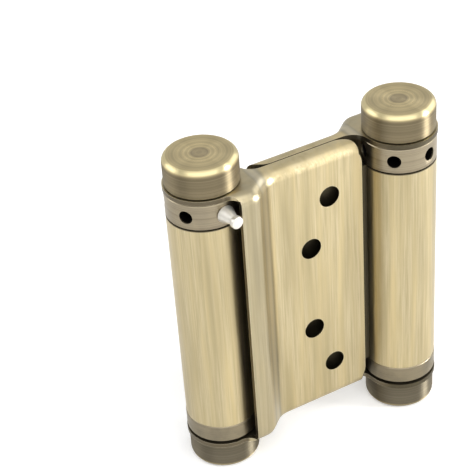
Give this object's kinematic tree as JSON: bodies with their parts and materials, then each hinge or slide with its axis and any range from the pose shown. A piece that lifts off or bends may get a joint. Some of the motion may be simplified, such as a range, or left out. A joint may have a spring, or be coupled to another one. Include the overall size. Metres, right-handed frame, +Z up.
{
  "type": "double action cafe hinge",
  "caption": "Double action spring hinge for cafe doors: a pressed leaf swings on each of two barrels joined by a web, with turned caps, tension collars and pins.",
  "frame": {"origin": "middle of the hinge, midway between the two barrel axes and at half the leaves' height", "axes": "+Z up along the barrels, +X from the front leaf's barrel to the rear leaf's barrel, -Y towards the front leaf's outer face"},
  "size_m": [0.0696, 0.0267, 0.0898],
  "materials": {
    "brushed_brass": "steel plated antique brass, brushed along the barrels",
    "turned_brass": "turned, plated antique brass, with fine rings on the flat end",
    "dark_bronze": "turned, plated antique brass, darker",
    "spindle_steel": "ground",
    "washer_steel": "plain",
    "polished_steel": "polished",
    "spring_steel": "oiled spring wire"
  },
  "bodies": {
    "barrels": {"twin_barrel": "brushed_brass", "front_barrel_bush": "dark_bronze", "front_torsion_spring": "spring_steel", "rear_barrel_bush": "dark_bronze", "rear_torsion_spring": "spring_steel"},
    "front_leaf": {"front_leaf": "brushed_brass", "front_top_cap": "turned_brass", "front_bottom_cap": "dark_bronze", "front_spindle": "spindle_steel", "front_thrust_washer": "washer_steel"},
    "front_collar": {"front_tension_collar": "dark_bronze"},
    "front_pin": {"front_tension_pin": "polished_steel"},
    "rear_leaf": {"rear_leaf": "brushed_brass", "rear_top_cap": "turned_brass", "rear_bottom_cap": "dark_bronze", "rear_spindle": "spindle_steel", "rear_thrust_washer": "washer_steel"},
    "rear_collar": {"rear_tension_collar": "dark_bronze"},
    "rear_pin": {"rear_tension_pin": "polished_steel"}
  },
  "joints": [
    {"name": "front_leaf_swing", "type": "hinge", "parent": "barrels", "child": "front_leaf", "pos_m": [-0.0254, 0, 0], "axis": [0, 0, -1], "range_deg": [0, 187.45], "stiffness_Nm_per_rad": 0.3, "springref_deg": -14.32},
    {"name": "front_collar_turn", "type": "hinge", "parent": "front_leaf", "child": "front_collar", "pos_m": [-0.0254, 0, 0], "axis": [0, 0, -1], "range_deg": [0, 60]},
    {"name": "front_pin_pull", "type": "slide", "parent": "front_collar", "child": "front_pin", "axis": [0.2079, -0.9781, 0], "range_m": [0, 0.006]},
    {"name": "rear_leaf_swing", "type": "hinge", "parent": "barrels", "child": "rear_leaf", "pos_m": [0.0254, 0, 0], "axis": [0, 0, -1], "range_deg": [0, 187.45], "stiffness_Nm_per_rad": 0.3, "springref_deg": -14.32},
    {"name": "rear_collar_turn", "type": "hinge", "parent": "rear_leaf", "child": "rear_collar", "pos_m": [0.0254, 0, 0], "axis": [0, 0, -1], "range_deg": [-46.3, 13.7]},
    {"name": "rear_pin_pull", "type": "slide", "parent": "rear_collar", "child": "rear_pin", "axis": [0.5635, 0.8261, 0], "range_m": [0, 0.006]}
  ]
}
